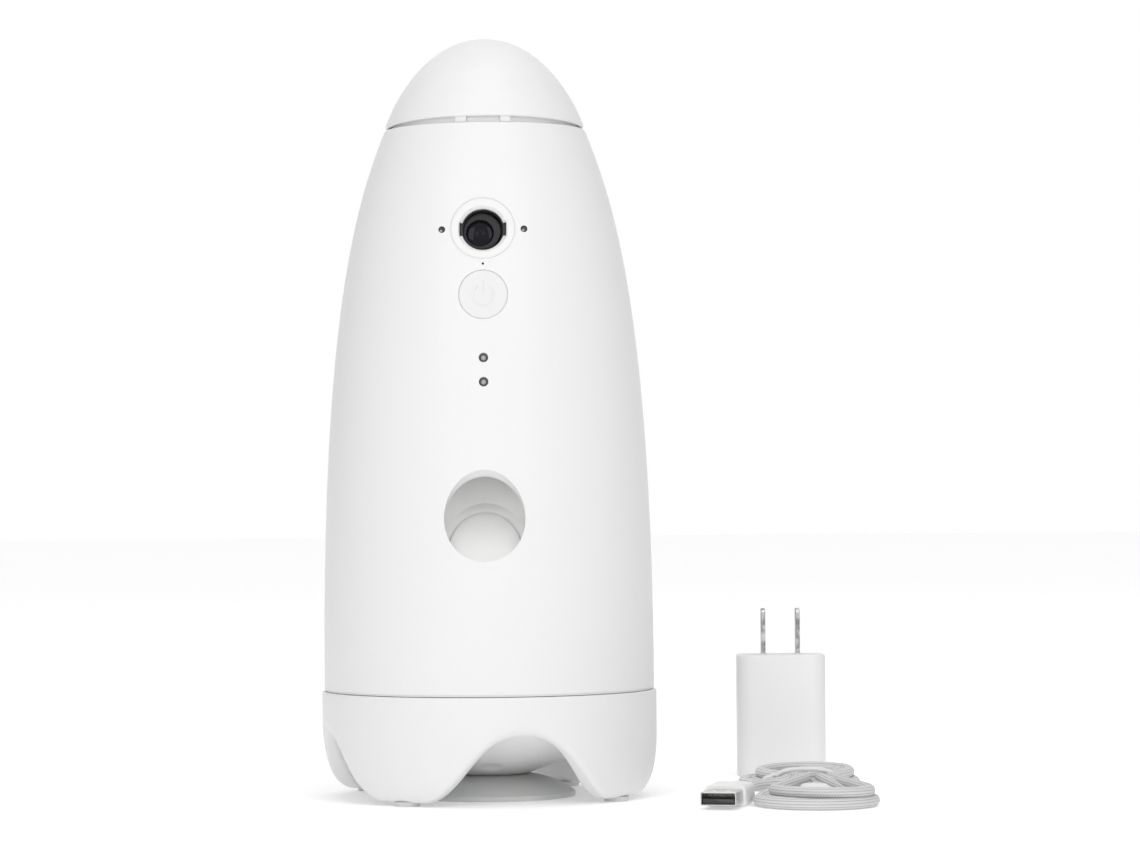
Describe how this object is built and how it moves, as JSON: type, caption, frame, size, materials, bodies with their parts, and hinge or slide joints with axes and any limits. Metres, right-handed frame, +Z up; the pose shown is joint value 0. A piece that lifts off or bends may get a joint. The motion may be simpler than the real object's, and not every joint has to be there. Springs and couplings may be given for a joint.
{
  "type": "treat tossing pet camera",
  "caption": "Rocket shaped indoor pet camera that turns on a legged suction base, with a treat hopper under its domed lid and an oval treat outlet, a wall adapter and a braided lead.",
  "frame": {"origin": "on the floor, on the tower's turning axis, under the middle of the suction cup", "axes": "+Z up along the tower, -Y out of the lens and the treat outlet, +X to the right of someone who faces the camera"},
  "size_m": [0.1885, 0.172, 0.2625],
  "materials": {
    "shell_white": "white moulded plastic with a fine satin finish",
    "inner_white": "pale moulded plastic, satin",
    "lens_holder": "black satin plastic",
    "lens_glass": "coated dark lens glass",
    "clear_lamp": "clear and milky acrylic",
    "circuit_board": "green solder mask on glass fibre board",
    "chip_black": "black moulded parts",
    "soft_silicone": "translucent pale grey silicone",
    "acetal": "natural acetal",
    "screw_steel": "zinc plated and turned steel",
    "sheet_steel": "nickel plated sheet steel",
    "motor_can": "drawn steel motor can",
    "coil_tape": "enamelled copper winding under amber tape",
    "adapter_plastic": "white moulded plastic, satin",
    "cord_braid": "white braided nylon sleeve",
    "tie_plastic": "white coated wire tie",
    "plug_grip": "white moulded grip"
  },
  "bodies": {
    "base": {"base_shell": "shell_white", "base_deck": "inner_white", "deck_screws": "screw_steel", "spindle_screw": "screw_steel", "sun_gear": "acetal", "slide_ring": "acetal", "foot_pads": "soft_silicone", "suction_cup": "soft_silicone", "suction_stud": "screw_steel", "suction_nut": "screw_steel", "adapter_shell": "adapter_plastic", "adapter_prongs": "sheet_steel", "adapter_socket": "sheet_steel", "cable_hank": "cord_braid", "cable_lead": "cord_braid", "cable_tie": "tie_plastic", "usb_a_plug": "plug_grip", "usb_c_plug": "plug_grip"},
    "tower": {"body_shell": "shell_white", "tower_floor": "inner_white", "tower_screws": "screw_steel", "chassis_posts": "screw_steel", "pan_motor": "motor_can", "pan_bracket": "sheet_steel", "hopper_floor": "inner_white", "feed_motor": "motor_can", "feed_bracket": "sheet_steel", "hopper": "inner_white", "wiper_plate": "inner_white", "camera_bezel": "shell_white", "camera_holder": "lens_holder", "lens_barrel": "lens_holder", "lens_glass": "lens_glass", "camera_board": "circuit_board", "ir_leds": "clear_lamp", "microphone": "soft_silicone", "tact_switch": "chip_black", "main_board": "circuit_board", "board_parts": "chip_black", "light_pipes": "clear_lamp", "drop_chute": "inner_white", "launch_channel": "inner_white", "kicker_pin": "screw_steel", "solenoid_frame": "sheet_steel", "solenoid_coil": "coil_tape", "plunger_spring": "screw_steel", "speaker": "chip_black", "inlet_socket": "sheet_steel", "inlet_board": "circuit_board"},
    "lid": {"lid_dome": "shell_white", "lid_plug": "inner_white", "lid_seal": "soft_silicone"},
    "button": {"power_button": "shell_white"},
    "feed": {"feed_wheel": "inner_white", "feed_shaft": "screw_steel", "feed_gear": "acetal"},
    "feed_drive": {"feed_pinion": "acetal"},
    "pan_drive": {"pan_pinion": "acetal"},
    "kicker_plate": {"kicker": "inner_white"},
    "plunger_core": {"plunger": "screw_steel"}
  },
  "joints": [
    {"name": "pan", "type": "hinge", "parent": "base", "child": "tower", "pos_m": [0, 0, 0.039], "axis": [0, 0, 1], "range_deg": [-165, 165]},
    {"name": "pan_pinion_spin", "type": "hinge", "parent": "tower", "child": "pan_drive", "pos_m": [-0.02257, 0.0158, 0.0446], "axis": [0, 0, 1], "range_deg": [-660, 660]},
    {"name": "lid_lift", "type": "slide", "parent": "tower", "child": "lid", "axis": [0, 0, 1], "range_m": [0, 0.06]},
    {"name": "button_press", "type": "slide", "parent": "tower", "child": "button", "axis": [0, 1, 0], "range_m": [0, 0.0008], "stiffness_N_per_m": 400, "springref_m": -0.002},
    {"name": "feed_spin", "type": "hinge", "parent": "tower", "child": "feed", "pos_m": [0, 0.008, 0.144], "axis": [0, 0, 1], "continuous": true},
    {"name": "feed_pinion_spin", "type": "hinge", "parent": "tower", "child": "feed_drive", "pos_m": [0, 0.02125, 0.134], "axis": [0, 0, 1], "continuous": true},
    {"name": "kick_swing", "type": "hinge", "parent": "tower", "child": "kicker_plate", "pos_m": [0, -0.0483, 0.0832], "axis": [1, 0, 0], "range_deg": [0, 32]},
    {"name": "plunger_slide", "type": "slide", "parent": "tower", "child": "plunger_core", "axis": [0, -1, 0], "range_m": [0, 0.00776], "stiffness_N_per_m": 30, "springref_m": -0.004, "deforming": ["plunger_spring"]}
  ],
  "couplings": [
    {"joint": "pan_pinion_spin", "follows": "pan", "ratio": 4},
    {"joint": "feed_pinion_spin", "follows": "feed_spin", "ratio": -2},
    {"joint": "kick_swing", "follows": "plunger_slide", "rad_per_m": 71.94}
  ]
}
